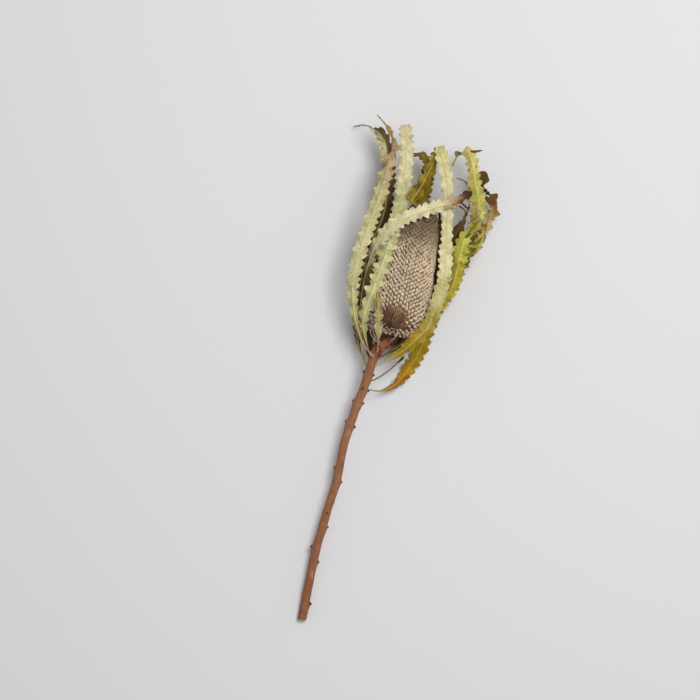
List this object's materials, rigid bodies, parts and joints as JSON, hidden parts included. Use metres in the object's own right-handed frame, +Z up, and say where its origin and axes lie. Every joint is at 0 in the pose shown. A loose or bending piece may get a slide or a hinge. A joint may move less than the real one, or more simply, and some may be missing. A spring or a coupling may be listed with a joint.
{
  "type": "banksia cone",
  "caption": "Dried banksia flower spike on a cut woody stem, with long toothed leaves round it; lies on its side as decoration.",
  "frame": {"origin": "centre of the footprint's box, on the surface that the specimen lies on", "axes": "+Y along the specimen from the stem's cut end towards the leaf tips, +Z up from the surface, +X to the right seen from above"},
  "size_m": [0.1284, 0.3983, 0.0559],
  "materials": {
    "bark": "reddish tan bark, matt",
    "floret_tips": "dry pinkish beige florets, matt",
    "withered_strands": "withered red-brown strands, matt",
    "dead_stalk": "dry grey-brown stalk, matt",
    "leaf_left_skin": "dry pale sage leaf, matt",
    "leaf_tall_skin": "dry pale sage leaf, matt",
    "leaf_crossing_skin": "dry straw-coloured leaf, matt",
    "leaf_short_skin": "dry straw-coloured leaf, matt",
    "leaf_folded_skin": "dry pale sage leaf, yellow-green at its base, matt",
    "leaf_right_skin": "dry yellow-green leaf, matt",
    "leaf_outer_skin": "dry ochre leaf, matt",
    "leaf_behind_spike_skin": "dry brown leaf, matt",
    "leaf_back_left_skin": "dry olive leaf, matt",
    "leaf_under_skin": "dry olive leaf, matt",
    "leaf_back_right_skin": "dry brown leaf, matt"
  },
  "bodies": {
    "root": {"stem": "bark", "spike": "floret_tips", "withered_flowers": "withered_strands", "bare_stalk": "dead_stalk", "leaf_left": "leaf_left_skin", "leaf_tall": "leaf_tall_skin", "leaf_crossing": "leaf_crossing_skin", "leaf_short": "leaf_short_skin", "leaf_folded": "leaf_folded_skin", "leaf_right": "leaf_right_skin", "leaf_outer": "leaf_outer_skin", "leaf_behind_spike": "leaf_behind_spike_skin", "leaf_back_left": "leaf_back_left_skin", "leaf_under": "leaf_under_skin", "leaf_back_right": "leaf_back_right_skin"}
  },
  "joints": []
}
